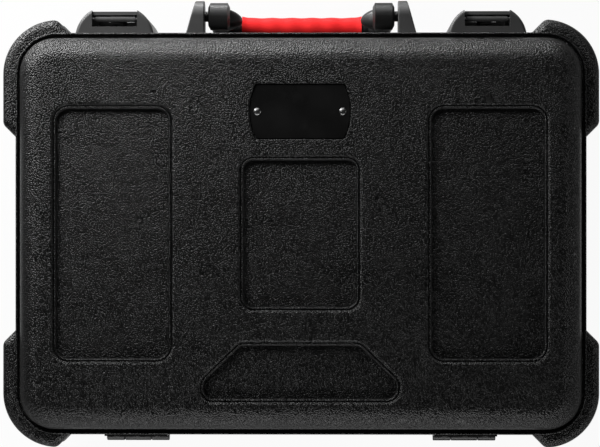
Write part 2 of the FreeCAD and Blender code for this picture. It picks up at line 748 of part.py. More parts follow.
def latch_profile(height):
    """Cross-section of a latch body: flat back, bowed sides and a flat front."""
    foot = LATCH_WIDTH / 2
    crown = LATCH_CROWN_WIDTH / 2
    side_length = math.hypot(foot - crown, LATCH_PROUD)
    bulge_across = LATCH_SIDE_BULGE * LATCH_PROUD / side_length
    bulge_out = LATCH_SIDE_BULGE * (foot - crown) / side_length
    middle = ((foot + crown) / 2 + bulge_across, LATCH_PROUD / 2 + bulge_out)
    place = on_front(LATCH_CENTRE_X, height)
    right_foot = place(foot, 0)
    left_foot = place(-foot, 0)
    right_crown = place(crown, LATCH_PROUD)
    left_crown = place(-crown, LATCH_PROUD)
    edges = [
        Part.makeLine(left_foot, right_foot),
        Part.Arc(right_foot, place(middle[0], middle[1]), right_crown).toShape(),
        Part.makeLine(right_crown, left_crown),
        Part.Arc(left_crown, place(-middle[0], middle[1]), left_foot).toShape(),
    ]
    return Part.Wire(edges)


def latch_block(low, high, end):
    """Length of latch body between two heights over the parting plane, rounded at one end."""
    block = Part.Face(latch_profile(PARTING + low)).extrude(Vector(0, 0, high - low))
    rounded = []
    for edge in edges_at_height(block, PARTING + end):
        if edge.BoundBox.YMin < -(HALF_DEPTH + TOLERANCE):
            rounded.append(edge)
    return block.makeFillet(LATCH_END_RADIUS, rounded)


def latch_channel(low, high):
    half = LATCH_CHANNEL_WIDTH / 2
    x = LATCH_CENTRE_X
    return front_box(x - half, x + half, LATCH_CHANNEL_FLOOR, LATCH_PROUD + CUT_OVERRUN, low, high)


def latch_screw_places():
    places = []
    for side in (-1, 1):
        for step in (-1, 1):
            places.append(side * LATCH_CENTRE_X + step * LATCH_SCREW_SPACING / 2)
    return places


def screw_hole(x):
    """Hole through the belt's front wall, over the parting plane, for one latch screw."""
    start = Vector(x, -(HALF_DEPTH + LATCH_SCREW_BITE), LATCH_SCREW_HEIGHT)
    end = Vector(x, -(HALF_DEPTH - SHELL_WALL - CUT_OVERRUN), LATCH_SCREW_HEIGHT)
    return rod(RIVET_SHANK_RADIUS + SEAT_CLEARANCE, start, end)


def latch_screw(x):
    """Screw from inside the shell into the latch body's shoulder, over the parting plane."""
    head_face = Vector(x, -(HALF_DEPTH - SHELL_WALL), LATCH_SCREW_HEIGHT)
    tip = Vector(x, -(HALF_DEPTH + LATCH_SCREW_BITE), LATCH_SCREW_HEIGHT)
    crown = RIVET_HEAD_RADIUS * RIVET_CROWN_SHARE
    head = Part.makeCone(RIVET_HEAD_RADIUS, crown, RIVET_HEAD_HEIGHT, head_face, Vector(0, 1, 0))
    return head.fuse(rod(RIVET_SHANK_RADIUS, head_face, tip))


def latch_screws():
    return Part.makeCompound([latch_screw(x) for x in latch_screw_places()])


def latch_pin_line(half_length):
    y = -(HALF_DEPTH + LATCH_PIN_OUT)
    z = PARTING + LATCH_PIN_HEIGHT
    return Vector(LATCH_CENTRE_X - half_length, y, z), Vector(LATCH_CENTRE_X + half_length, y, z)


def latch_keeper():
    """Lid half of a latch: two shoulders with the lever's channel and hinge pin between them."""
    block = latch_block(LATCH_SPLIT, LATCH_KEEPER_HEIGHT, LATCH_KEEPER_HEIGHT)
    channel = latch_channel(0, LATCH_KEEPER_HEIGHT + CUT_OVERRUN)
    pin_reach = LATCH_CHANNEL_WIDTH / 2 + LATCH_PIN_BITE
    pin_hole = rod(LATCH_PIN_RADIUS + SEAT_CLEARANCE, *latch_pin_line(pin_reach))
    return block.cut([channel, pin_hole] + [to_lid(screw_hole(x)) for x in latch_screw_places()])


def latch_pin():
    pin_reach = LATCH_CHANNEL_WIDTH / 2 + LATCH_PIN_BITE - SEAT_CLEARANCE
    return rod(LATCH_PIN_RADIUS, *latch_pin_line(pin_reach))


def latch_box(width, out_low, out_high, height_low, height_high):
    """Box centred on a latch, placed by outward distance and height over the parting plane."""
    left = LATCH_CENTRE_X - width / 2
    return front_box(left, left + width, out_low, out_high, height_low, height_high)


def lever_plate():
    """Flat plate of a hasp lever with a finger lip at its lower end."""
    points = [
        (-LEVER_LOW, LEVER_INNER),
        (-LEVER_LOW, LEVER_OUTER + LEVER_LIP_PROUD),
        (LEVER_LIP_HEIGHT - LEVER_LOW, LEVER_OUTER),
        (LEVER_TOP, LEVER_OUTER),
        (LEVER_TOP, LEVER_INNER),
    ]
    place = across_front(LATCH_CENTRE_X - LEVER_WIDTH / 2)
    wire = Part.makePolygon([place(a, b) for a, b in points + points[:1]])
    return Part.Face(wire).extrude(Vector(LEVER_WIDTH, 0, 0))


def latch_lever():
    """Hasp lever: its plate on a hinge barrel with a spur, and an eye for the bolt."""
    rooted = LEVER_INNER + LEVER_THICKNESS / 2
    barrel = rod(LATCH_BARREL_RADIUS, *latch_pin_line(LATCH_BARREL_WIDTH / 2))
    web = latch_box(
        LATCH_BARREL_WIDTH, LATCH_PIN_OUT, rooted, LATCH_PIN_HEIGHT - LATCH_BARREL_RADIUS, LATCH_PIN_HEIGHT)
    spur_top = LATCH_PIN_HEIGHT - LEVER_SPUR_DROP
    spur_low = spur_top - LEVER_SPUR_HEIGHT
    spur = latch_box(LEVER_SPUR_WIDTH, LATCH_PIN_OUT - LEVER_SPUR_REACH, LATCH_PIN_OUT, spur_low, spur_top)
    tab = latch_box(LEVER_TAB_WIDTH, LEVER_TAB_INNER, rooted, -LEVER_TAB_LOW, -LEVER_TAB_TOP)
    eye = latch_box(
        BOLT_WIDTH + 2 * EYE_CLEARANCE, BOLT_OUT - EYE_CLEARANCE, BOLT_OUT + BOLT_THICKNESS + EYE_CLEARANCE,
        -LEVER_TAB_LOW - CUT_OVERRUN, CUT_OVERRUN - LEVER_TAB_TOP)
    bore = rod(LATCH_PIN_RADIUS + RUNNING_CLEARANCE, *latch_pin_line(LATCH_WIDTH))
    return lever_plate().fuse([barrel, web, spur, tab]).cut([eye, bore]).removeSplitter()


def lock_axis(out):
    return Vector(LATCH_CENTRE_X, -(HALF_DEPTH + out), PARTING - LOCK_LOW)


def latch_housing():
    """Base half of a latch: the lever's channel above and the lock below, shaped to the wall behind."""
    block = latch_block(-LATCH_HOUSING_HEIGHT, -LATCH_SPLIT, -LATCH_HOUSING_HEIGHT)
    depth = wall_inset(LATCH_HOUSING_HEIGHT) + CUT_OVERRUN
    back = latch_box(LATCH_WIDTH, -depth, 0, -LATCH_HOUSING_HEIGHT, -BELT_HEIGHT)
    block = block.fuse(back).cut(to_base(shell_outside(BASE_HEIGHT)))
    scoop_place = on_front(LATCH_CENTRE_X, PARTING - LATCH_CHANNEL_LOW)
    scoop = rod(
        SCOOP_RADIUS, scoop_place(-SCOOP_WIDTH / 2, LATCH_PROUD), scoop_place(SCOOP_WIDTH / 2, LATCH_PROUD))
    slot_out = BOLT_OUT + BOLT_THICKNESS + BOLT_CLEARANCE
    slot = latch_box(
        BOLT_WIDTH + 2 * BOLT_CLEARANCE, BOLT_OUT - BOLT_CLEARANCE, slot_out,
        -(BOLT_LOW + BOLT_CLEARANCE), CUT_OVERRUN - LATCH_CHANNEL_LOW)
    bore = rod(LOCK_RADIUS + RUNNING_CLEARANCE, lock_axis(LOCK_INNER), lock_axis(LATCH_PROUD + CUT_OVERRUN))
    holes = [to_base(screw_hole(x)) for x in latch_screw_places()]
    return block.cut([latch_channel(-LATCH_CHANNEL_LOW, CUT_OVERRUN), scoop, slot, bore] + holes)


def lock_bolt():
    return latch_box(BOLT_WIDTH, BOLT_OUT, BOLT_OUT + BOLT_THICKNESS, -BOLT_LOW, -BOLT_TOP)


def lock_cylinder():
    """Turning lock plug with a keyway across its face."""
    face_out = LATCH_PROUD - LOCK_FACE_SETBACK
    plug = rod(LOCK_RADIUS, lock_axis(LOCK_INNER + SEAT_CLEARANCE), lock_axis(face_out))
    keyway = latch_box(
        KEYWAY_WIDTH, face_out - KEYWAY_DEPTH, face_out + CUT_OVERRUN,
        -LOCK_LOW - KEYWAY_HEIGHT / 2, -LOCK_LOW + KEYWAY_HEIGHT / 2)
    return plug.cut(keyway)


# Handle

def pivot_point(x):
    return Vector(x, -(HALF_DEPTH + HANDLE_PIVOT_OUT), PARTING - HANDLE_PIVOT_LOW)


def handle_rivet_places():
    """Face point, inward direction and stack thickness of the rivets of both brackets."""
    places = []
    for side in (-1, 1):
        for x in (HANDLE_PLATE_INNER_X + HANDLE_RIVET_INSET, HANDLE_PLATE_OUTER_X - HANDLE_RIVET_INSET):
            for low in (HANDLE_RIVET_TOP, HANDLE_RIVET_LOW):
                face = Vector(side * x, -(HALF_DEPTH + HANDLE_PLATE), PARTING - low)
                places.append((face, Vector(0, 1, 0), HANDLE_PLATE + SHELL_WALL))
    return places


def handle_rivets():
    return Part.makeCompound([rivet(*place) for place in handle_rivet_places()])


def handle_bracket():
    """Right-hand bracket: riveted plate with a tapered ear that carries the pivot pin."""
    low = -(HANDLE_PIVOT_LOW + HANDLE_EAR_RADIUS)
    high = -(HANDLE_PIVOT_LOW - HANDLE_EAR_RADIUS)
    tip = HANDLE_PIVOT_OUT + HANDLE_EAR_RADIUS
    place = across_front(HANDLE_EAR_INNER_X)
    low_turn = place(low, HANDLE_PIVOT_OUT)
    high_turn = place(high, HANDLE_PIVOT_OUT)
    arch = [
        Part.makeLine(place(low, 0), low_turn),
        Part.Arc(low_turn, place(-HANDLE_PIVOT_LOW, tip), high_turn).toShape(),
        Part.makeLine(high_turn, place(high, 0)),
        Part.makeLine(place(high, 0), place(low, 0)),
    ]
    ear = Part.Face(Part.Wire(arch)).extrude(Vector(HANDLE_EAR_FOOT, 0, 0))
    level = on_front(HANDLE_EAR_INNER_X, PARTING + low)
    taper_points = [(0, 0), (HANDLE_EAR_FOOT, 0), (HANDLE_EAR_TOP, tip), (0, tip)]
    taper_wire = Part.makePolygon([level(a, b) for a, b in taper_points + taper_points[:1]])
    ear = ear.common(Part.Face(taper_wire).extrude(Vector(0, 0, high - low)))
    free_edges = [edge for edge in ear.Edges if edge.BoundBox.YMin < -(HALF_DEPTH + TOLERANCE)]
    ear = ear.makeFillet(HANDLE_EAR_EDGE, free_edges)
    half_x = (HANDLE_PLATE_OUTER_X - HANDLE_PLATE_INNER_X) / 2
    centre_x = (HANDLE_PLATE_OUTER_X + HANDLE_PLATE_INNER_X) / 2
    plate_wire = rounded_rectangle(
        half_x, HANDLE_EAR_RADIUS, HANDLE_PLATE_CORNER_RADIUS,
        lambda a, b: Vector(centre_x + a, -HALF_DEPTH, PARTING - HANDLE_PIVOT_LOW + b))
    plate = Part.Face(plate_wire).extrude(Vector(0, -HANDLE_PLATE, 0))
    pin_hole = rod(
        HANDLE_PIN_RADIUS + SEAT_CLEARANCE,
        pivot_point(HANDLE_EAR_INNER_X - CUT_OVERRUN), pivot_point(HANDLE_EAR_INNER_X + HANDLE_PIN_EAR_BITE))
    holes = [rivet_hole(*place) for place in handle_rivet_places()]
    return ear.fuse(plate).cut([pin_hole] + holes).removeSplitter()


def handle_pin():
    """Right-hand pivot pin with a spacing collar between the bracket and the handle."""
    start = BOSS_OUTER_X - HANDLE_PIN_BOSS_BITE
    end = HANDLE_EAR_INNER_X + HANDLE_PIN_EAR_BITE - SEAT_CLEARANCE
    shank = rod(HANDLE_PIN_RADIUS, pivot_point(start), pivot_point(end))
    collar_start = pivot_point(BOSS_OUTER_X + HANDLE_SIDE_GAP)
    collar = rod(HANDLE_PIN_COLLAR_RADIUS, collar_start, pivot_point(HANDLE_EAR_INNER_X))
    return shank.fuse(collar)


def handle_frame_point(x, along, out):
    """Point in the handle's own plane: along from the pivot towards the grip, out away from the case."""
    drop = GRIP_LOW - HANDLE_PIVOT_LOW
    lean = HANDLE_PIVOT_OUT - GRIP_OUT
    length = math.hypot(drop, lean)
    down = Vector(0, lean / length, -drop / length)
    outward = Vector(0, -drop / length, -lean / length)
    return pivot_point(x).add(down * along).add(outward * out)


def handle_length():
    return math.hypot(GRIP_LOW - HANDLE_PIVOT_LOW, HANDLE_PIVOT_OUT - GRIP_OUT)


def soft_section(centre_x, centre_along, across_x, across_along, half_width, half_thickness):
    """Rounded closed section in the handle, wide along one direction of its plane and thick outward."""
    points = []
    for index in range(SECTION_POINT_COUNT):
        angle = 2 * math.pi * index / SECTION_POINT_COUNT
        wide = math.copysign(abs(math.cos(angle)) ** SECTION_ROUNDNESS, math.cos(angle)) * half_width
        thick = math.copysign(abs(math.sin(angle)) ** SECTION_ROUNDNESS, math.sin(angle)) * half_thickness
        x = centre_x + across_x * wide
        points.append(handle_frame_point(x, centre_along + across_along * wide, thick))
    curve = Part.BSplineCurve()
    curve.interpolate(Points=points, PeriodicFlag=True)
    return Part.Wire([curve.toShape()])


def handle_arm():
    """Right-hand arm, lofted from the pivot boss round the elbow to the grip's end."""
    length = handle_length()
    boss_x = (BOSS_INNER_X + BOSS_OUTER_X) / 2
    elbow_x = boss_x - ARM_ELBOW_RADIUS
    elbow_along = length - ARM_ELBOW_RADIUS
    sections = [soft_section(boss_x, 0, 1, 0, ARM_START_HALF_WIDTH, ARM_START_HALF_THICKNESS)]
    for step in range(ARM_SECTION_COUNT):
        share = step / (ARM_SECTION_COUNT - 1)
        angle = share * math.pi / 2
        width = ARM_START_HALF_WIDTH + share * (GRIP_HALF_WIDTH - ARM_START_HALF_WIDTH)
        thickness = ARM_START_HALF_THICKNESS + share * (GRIP_HALF_THICKNESS - ARM_START_HALF_THICKNESS)
        sections.append(soft_section(
            elbow_x + ARM_ELBOW_RADIUS * math.cos(angle), elbow_along + ARM_ELBOW_RADIUS * math.sin(angle),
            math.cos(angle), math.sin(angle), width, thickness))
    end_x = GRIP_LENGTH / 2 + GRIP_END_GAP
    sections.append(soft_section(end_x, length, 0, 1, GRIP_HALF_WIDTH, GRIP_HALF_THICKNESS))
    return Part.makeLoft(sections, True, False)


def handle_boss():
    """Right-hand pivot drum with chamfered rims."""
    points = [
        (BOSS_INNER_X, 0),
        (BOSS_INNER_X, BOSS_FACE_RADIUS),
        (BOSS_INNER_X + BOSS_CHAMFER, BOSS_RADIUS),
        (BOSS_OUTER_X - BOSS_CHAMFER, BOSS_RADIUS),
        (BOSS_OUTER_X, BOSS_FACE_RADIUS),
        (BOSS_OUTER_X, 0),
    ]
    wire = Part.makePolygon([pivot_point(x).add(Vector(0, 0, radius)) for x, radius in points + points[:1]])
    return Part.Face(wire).revolve(pivot_point(0), Vector(1, 0, 0), 360)


def handle_frame():
    half = handle_boss().fuse(handle_arm())
    start = BOSS_OUTER_X - HANDLE_PIN_BOSS_BITE - HANDLE_SIDE_GAP
    bore = rod(
        HANDLE_PIN_RADIUS + RUNNING_CLEARANCE, pivot_point(start), pivot_point(BOSS_OUTER_X + CUT_OVERRUN))
    half = half.cut(bore)
    reach = GRIP_LENGTH / 2 + ARM_START_HALF_WIDTH / 2
    length = handle_length()
    core = rod(CORE_RADIUS, handle_frame_point(-reach, length, 0), handle_frame_point(reach, length, 0))
    return core.fuse([half, mirrored_x(half)])


def handle_grip():
    """Soft sleeve with shallow finger ridges and flared ends."""
    length = handle_length()
    count = GRIP_RIDGE_COUNT * GRIP_RIDGE_STEPS
    sections = []
    for index in range(count + 1):
        share = 2 * index / count - 1
        end_share = max(0, 1 - (1 - abs(share)) / GRIP_FLARE_SHARE)
        swell = GRIP_FLARE * end_share ** 2 - GRIP_RIDGE * math.cos(2 * math.pi * index / GRIP_RIDGE_STEPS)
        sections.append(soft_section(
            share * GRIP_LENGTH / 2, length, 0, 1, GRIP_HALF_WIDTH + swell, GRIP_HALF_THICKNESS + swell))
    sleeve = Part.makeLoft(sections, True, False)
    reach = GRIP_LENGTH
    bore_start = handle_frame_point(-reach, length, 0)
    bore_end = handle_frame_point(reach, length, 0)
    return sleeve.cut(rod(CORE_RADIUS + SEAT_CLEARANCE, bore_start, bore_end))


# Export

def export_pairs(pieces, name, right):
    """Adds a right-hand piece and its mirror image."""
    pieces[name + "_right"] = right
    pieces[name + "_left"] = mirrored_x(right)


def all_pieces():
    pieces = {}
    pieces["base_shell"] = base_shell()
    pieces["base_rim"] = base_rim()
    pieces["base_floor_pad"] = to_base(foam_pad(BASE_HEIGHT, FLOOR_FOAM))
    pieces["base_foam_walls"] = base_foam_walls()
    pieces["lid_shell"] = lid_shell()
    pieces["lid_rim"] = lid_rim()
    pieces["lid_foam"] = to_lid(foam_pad(LID_HEIGHT, LID_FOAM))
    corner = bumper()
    for half_name, place in (("lid", to_lid), ("base", to_base)):
        export_pairs(pieces, half_name + "_bumper_rear", place(corner))
        export_pairs(pieces, half_name + "_bumper_front", place(mirrored_y(corner)))
    for side_name, side in (("left", -1), ("right", 1)):
        pieces["hinge_lid_leaf_" + side_name] = lid_hinge_leaf(side)
        pieces["hinge_base_leaf_" + side_name] = base_hinge_leaf(side)
        pieces["hinge_pin_" + side_name] = hinge_pin(side)
    pieces["lid_hinge_rivets"] = to_lid(hinge_rivets())
    pieces["base_hinge_rivets"] = to_base(hinge_rivets())
    pieces["badge_plate"] = badge_plate()
    pieces["badge_rivets"] = badge_rivets()
    export_pairs(pieces, "latch_keeper", latch_keeper())
    export_pairs(pieces, "latch_pin", latch_pin())
    export_pairs(pieces, "latch_lever", latch_lever())
    export_pairs(pieces, "latch_housing", latch_housing())
    export_pairs(pieces, "lock_bolt", lock_bolt())
    export_pairs(pieces, "lock_cylinder", lock_cylinder())
    pieces["lid_latch_screws"] = to_lid(latch_screws())
    pieces["base_latch_screws"] = to_base(latch_screws())
    export_pairs(pieces, "handle_bracket", handle_bracket())
    export_pairs(pieces, "handle_pin", handle_pin())
    pieces["handle_rivets"] = handle_rivets()
    pieces["handle_frame"] = handle_frame()
    pieces["handle_grip"] = handle_grip()
    return pieces


os.makedirs("parts", exist_ok=True)
for name, shape in all_pieces().items():
    shape.exportStep("parts/" + name + ".step")
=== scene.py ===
import math
import bpy
import mathutils
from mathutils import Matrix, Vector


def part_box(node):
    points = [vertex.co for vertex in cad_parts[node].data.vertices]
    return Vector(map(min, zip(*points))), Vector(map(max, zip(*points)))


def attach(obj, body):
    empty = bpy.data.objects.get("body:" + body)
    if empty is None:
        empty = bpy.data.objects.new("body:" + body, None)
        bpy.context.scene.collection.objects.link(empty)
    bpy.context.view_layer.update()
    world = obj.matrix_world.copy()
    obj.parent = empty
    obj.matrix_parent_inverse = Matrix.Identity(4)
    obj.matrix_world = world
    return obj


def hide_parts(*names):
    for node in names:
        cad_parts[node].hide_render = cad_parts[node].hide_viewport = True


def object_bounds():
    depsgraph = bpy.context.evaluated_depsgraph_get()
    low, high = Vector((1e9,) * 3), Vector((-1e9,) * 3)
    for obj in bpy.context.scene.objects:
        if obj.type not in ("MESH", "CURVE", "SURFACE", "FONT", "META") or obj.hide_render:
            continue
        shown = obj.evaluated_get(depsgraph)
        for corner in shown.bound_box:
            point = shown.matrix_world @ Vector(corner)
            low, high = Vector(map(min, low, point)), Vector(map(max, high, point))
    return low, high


# Camera over the lid, a little to one side
CAMERA_DISTANCE = 2.0
CAMERA_SIDE = -0.030
CAMERA_SENSOR_MM = 36.0
CAMERA_VIEW_WIDTH = 0.5176
CAMERA_SHIFT_SHARE = 0.0168
CAMERA_REACH = 100

# Lamps: place, width, height and power. The front light stays below the lid's face, so that it lights
# the front and the lid's rolled edge but not the face.
LIGHT_AIM = (0, 0, 0.14)
LAMPS = {
    "top_light": ((0.50, -1.55, 0.85), 2.2, 1.0, 15),
    "front_light": ((0.55, -1.15, 0.10), 1.2, 0.14, 21),
    "corner_light": ((0.54, -0.58, 0.49), 0.35, 0.3, 4.2),
    "low_light": ((0.05, 0.72, 0.31), 1.2, 0.3, 3.6),
    "side_light": ((-1.20, 0.10, 0.34), 0.8, 0.3, 1.6),
}
WORLD_STRENGTH = 0.01

# Floor: the camera sees white everywhere, the case mirrors a white sheet that fades into a grey floor
FLOOR_HALF = 8.0
SHEET_CENTRE = (0.003, -0.0095)
SHEET_REACH = (0.30, 0.225)
SHEET_FADE_SHARE = 1.3
SHEET_GLOW_SHARE = 0.93
SHEET_LEVEL = 0.9
FLOOR_LEVEL = 0.3
FLOOR_ROUGHNESS = 0.9
FLOOR_STRENGTH = 0.1

# Surface detail: scales are features per metre
NOISE_DETAIL = 3
GRAIN_SCALE = 830
PEBBLE_REACH = 0.8
FINE_DETAIL = 1
FINE_SCALE_SHARE = 2.1
FINE_HEIGHT_SHARE = 0.2
SATIN_SCALE = 1250
CLOUD_SCALE = 38
SCUFF_SCALE = 70
SCUFF_DETAIL = 8
SCUFF_START_SHARE = 0.60
SCUFF_END_SHARE = 0.74
SCUFF_ROUGHNESS = 0.10
BRUSH_SCALE = 900
BRUSH_STRETCH = 0.03
FOAM_PORE_SCALE = 1500
MIDDLE_SHARES = (0.3, 0.7)
SHELL_GRAIN_DEPTH = 0.00052
SATIN_GRAIN_DEPTH = 0.00010
FINE_GRAIN_DEPTH = 0.00005
FOAM_PORE_DEPTH = 0.0006

# Surfaces: tones and roughness run from least to most, strength is that of the fine texture
MATERIAL_PREFIX = "dressed_"
USUAL_SPECULAR = 0.5
USUAL_STRENGTH = 0.3
# Shell and bumper tones: the dark one is the plastic's own tone and painted shade in the grain's hollows,
# the light one is random tone and a painted highlight on pebble tips
SHELL_TONES_SHADE_AND_GLINTS = (0.0015, 0.030)
BUMPER_TONES_SHADE_AND_GLINTS = (0.0015, 0.032)
MOULDED_ROUGHNESS = (0.27, 0.35)
HARDWARE_TONES = (0.060, 0.076)
HARDWARE_ROUGHNESS = (0.42, 0.52)
HANDLE_TONES = (0.012, 0.020)
HANDLE_ROUGHNESS = (0.36, 0.48)
LEVER_TONES = (0.085, 0.105)
LEVER_ROUGHNESS = (0.46, 0.56)
BADGE_TONES = (0.006, 0.012)
BADGE_ROUGHNESS = (0.26, 0.36)
BADGE_STRENGTH = 0.12
GRIP_REDS = ((0.90, 0.016, 0.018, 1), (0.96, 0.026, 0.026, 1))
GRIP_ROUGHNESS = (0.55, 0.68)
GRIP_STRENGTH = 0.25
GRIP_SPECULAR = 0.15
HINGE_TONES = (0.008, 0.016)
HINGE_ROUGHNESS = (0.34, 0.48)
RIM_TONES = (0.03, 0.055)
RIM_ROUGHNESS = (0.30, 0.46)
RIM_METAL_SHARE = 0.9
STEEL_TONES = (0.20, 0.30)
STEEL_ROUGHNESS = (0.30, 0.42)
STEEL_METAL_SHARE = 1
BRUSH_STRENGTH = 0.15
FOAM_TONES = (0.020, 0.055)
FOAM_ROUGHNESS = (0.88, 0.98)
FOAM_STRENGTH = 0.9
FOAM_SPECULAR = 0.2

# Foam lining
FOAM_EDGE_ROUND = 0.004
FOAM_GRID = 0.004
FOAM_EDGE_STEPS = 4
CRATE_PERIOD = 0.0345
CRATE_DEPTH = 0.0125
SWELL_DEPTH = 0.0006
SWELL_PERIODS = (0.27, 0.22)
LID_FOAM_CORNER = 0.016
FLOOR_PAD_CORNER = 0.012
WALL_OUTER_CORNER = 0.018
WALL_INNER_CORNER = 0.004
WALL_THICKNESS_X = 0.0137
WALL_THICKNESS_Y = 0.0157
WALL_FOOT_INSET = 0.0056
WALL_CORNER_STEPS = 8
WALL_SIDE_STEPS = 48
WALL_WAVE = 0.0004
WALL_WAVE_PERIOD = 0.083

# Bead round each pressed panel of the lid: panel outlines as in the part's source
SIDE_PANEL_HALF = (0.0524, 0.11175)
SIDE_PANEL_CENTRE_X = 0.1623
SIDE_PANEL_CORNER = 0.0145
CENTRE_PANEL_HALF = (0.0525, 0.06715)
TAPER_PANEL_NARROW_HALF = 0.05255
TAPER_PANEL_WIDE_HALF = 0.08695
TAPER_PANEL_NEAR = 0.0930
TAPER_PANEL_TURN = 0.1262
TAPER_PANEL_FAR = 0.1466
MIDDLE_PANEL_CORNER = 0.012
BEAD_INSET = 0.0025
BEAD_HALF_WIDTH = 0.0015
BEAD_FOOT_DEPTH = 0.0050
BEAD_CREST_DEPTH = 0.0011
BEAD_SECTION_STEPS = 14
BEAD_CORNER_STEPS = 10

WHITE = (1, 1, 1, 1)

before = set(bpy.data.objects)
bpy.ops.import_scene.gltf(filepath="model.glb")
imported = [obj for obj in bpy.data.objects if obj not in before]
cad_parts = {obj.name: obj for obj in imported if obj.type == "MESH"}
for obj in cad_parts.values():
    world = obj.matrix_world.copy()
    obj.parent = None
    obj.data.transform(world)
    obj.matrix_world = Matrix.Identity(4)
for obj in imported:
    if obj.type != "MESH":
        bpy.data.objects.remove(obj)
cad_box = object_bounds()


# Node helpers

def add_node(tree, kind, inputs=None, **settings):
    """Add a node, set its options, and set or link the named inputs."""
    made = tree.nodes.new(kind)
    for name, value in settings.items():
        setattr(made, name, value)
    for name, value in (inputs or {}).items():
        put(tree, made.inputs[name], value)
    return made


def put(tree, socket, value):
    if isinstance(value, bpy.types.NodeSocket):
        tree.links.new(value, socket)
    else:
        socket.default_value = value


def new_material(name):
    material = bpy.data.materials.new(MATERIAL_PREFIX + name)
    material.use_nodes = True
    tree = material.node_tree
    shader = tree.nodes["Principled BSDF"]
    place = tree.nodes.new("ShaderNodeTexCoord").outputs["Object"]
    return material, tree, shader, place


def noise(tree, place, scale, detail=NOISE_DETAIL):
    made = add_node(tree, "ShaderNodeTexNoise", {"Vector": place, "Scale": scale, "Detail": detail})
    return made.outputs["Fac"]


def cells(tree, place, scale):
    """Outputs of a cell pattern: the distance from each cell's centre and the cell's random colour."""
    return add_node(tree, "ShaderNodeTexVoronoi", {"Vector": place, "Scale": scale}).outputs


def spread(tree, value, start, end, low, high):
    """Map a value from one range to another and hold it there."""
    return add_node(tree, "ShaderNodeMapRange", {
        "Value": value, "From Min": start, "From Max": end, "To Min": low, "To Max": high,
    }).outputs["Result"]


def combine(tree, operation, first, second):
    made = add_node(tree, "ShaderNodeMath", operation=operation)
    put(tree, made.inputs[0], first)
    put(tree, made.inputs[1], second)
    return made.outputs[0]


def blend_colours(tree, share, first, second):
    made = add_node(tree, "ShaderNodeMixRGB")
    put(tree, made.inputs["Fac"], share)
    put(tree, made.inputs["Color1"], first)
    put(tree, made.inputs["Color2"], second)
    return made.outputs["Color"]


def bump(tree, height, strength, distance):
    return add_node(tree, "ShaderNodeBump", {
        "Height": height, "Strength": strength, "Distance": distance,
    }).outputs["Normal"]


def grey(level):
    return (level, level, level, 1)


def greys(tones):
    return [grey(tone) for tone in tones]


# Materials

def finish(tree, shader, colour, roughness, normal, specular=USUAL_SPECULAR, metallic=0):
    """Connect the usual inputs of a surface."""
    put(tree, shader.inputs["Base Color"], colour)
    put(tree, shader.inputs["Roughness"], roughness)
    put(tree, shader.inputs["Normal"], normal)
    put(tree, shader.inputs["Specular IOR Level"], specular)
    put(tree, shader.inputs["Metallic"], metallic)


def scuffs(tree, place):
    """Sparse patches where handling has dulled the surface."""
    patches = noise(tree, place, SCUFF_SCALE, SCUFF_DETAIL)
    return spread(tree, patches, SCUFF_START_SHARE, SCUFF_END_SHARE, 0, 1)


def worn_roughness(tree, place, roughness):
    cloud = spread(tree, noise(tree, place, CLOUD_SCALE), *MIDDLE_SHARES, *roughness)
    worn = combine(tree, "MULTIPLY", scuffs(tree, place), SCUFF_ROUGHNESS)
    return combine(tree, "ADD", cloud, worn)


def moulded_plastic(name, tones, roughness):
    """Plastic with pebbled mould grain, whose pebbles take the light unevenly; random pebble tips also
    carry a painted highlight and the hollows between them painted shade.
    """
    material, tree, shader, place = new_material(name)
    pattern = cells(tree, place, GRAIN_SCALE)
    pebble = spread(tree, pattern["Distance"], 0, PEBBLE_REACH, 1, 0)
    fine = noise(tree, place, GRAIN_SCALE * FINE_SCALE_SHARE, FINE_DETAIL)
    height = combine(tree, "ADD", pebble, combine(tree, "MULTIPLY", fine, FINE_HEIGHT_SHARE))
    # Random pebbles are painted lighter towards their tips and the hollows between stay dark: random tone
    # plus painted highlight and painted shade
    chance = combine(tree, "MULTIPLY", pattern["Color"], pattern["Color"])
    colour = blend_colours(tree, combine(tree, "MULTIPLY", chance, pebble), *greys(tones))
    normal = bump(tree, height, 1, SHELL_GRAIN_DEPTH)
    finish(tree, shader, colour, worn_roughness(tree, place, roughness), normal)
    return material


def satin(name, colours, roughness, strength=USUAL_STRENGTH, depth=SATIN_GRAIN_DEPTH,
          specular=USUAL_SPECULAR):
    """Smooth moulded surface with a faint fine texture."""
    material, tree, shader, place = new_material(name)
    fine = noise(tree, place, SATIN_SCALE)
    colour = blend_colours(tree, noise(tree, place, CLOUD_SCALE), *colours)
    normal = bump(tree, fine, strength, depth)
    finish(tree, shader, colour, worn_roughness(tree, place, roughness), normal, specular)
    return material


def brushed_metal(name, tones, roughness, metal_share):
    """Metal with fine lines along X."""
    material, tree, shader, place = new_material(name)
    mapping = add_node(tree, "ShaderNodeMapping", {"Vector": place, "Scale": (BRUSH_STRETCH, 1, 1)})
    lines = noise(tree, mapping.outputs["Vector"], BRUSH_SCALE)
    colour = blend_colours(tree, noise(tree, place, CLOUD_SCALE), *greys(tones))
    brushed = spread(tree, lines, *MIDDLE_SHARES, *roughness)
    normal = bump(tree, lines, BRUSH_STRENGTH, FINE_GRAIN_DEPTH)
    finish(tree, shader, colour, brushed, normal, metallic=metal_share)
    return material


def shell_plastic():
    return moulded_plastic("shell_plastic", SHELL_TONES_SHADE_AND_GLINTS, MOULDED_ROUGHNESS)


def bumper_plastic():
    return moulded_plastic("bumper_plastic", BUMPER_TONES_SHADE_AND_GLINTS, MOULDED_ROUGHNESS)


def hardware_plastic():
    return satin("hardware_plastic", greys(HARDWARE_TONES), HARDWARE_ROUGHNESS)


def handle_frame():
    return satin("handle_frame", greys(HANDLE_TONES), HANDLE_ROUGHNESS)


def lever_plastic():
    return satin("lever_plastic", greys(LEVER_TONES), LEVER_ROUGHNESS)


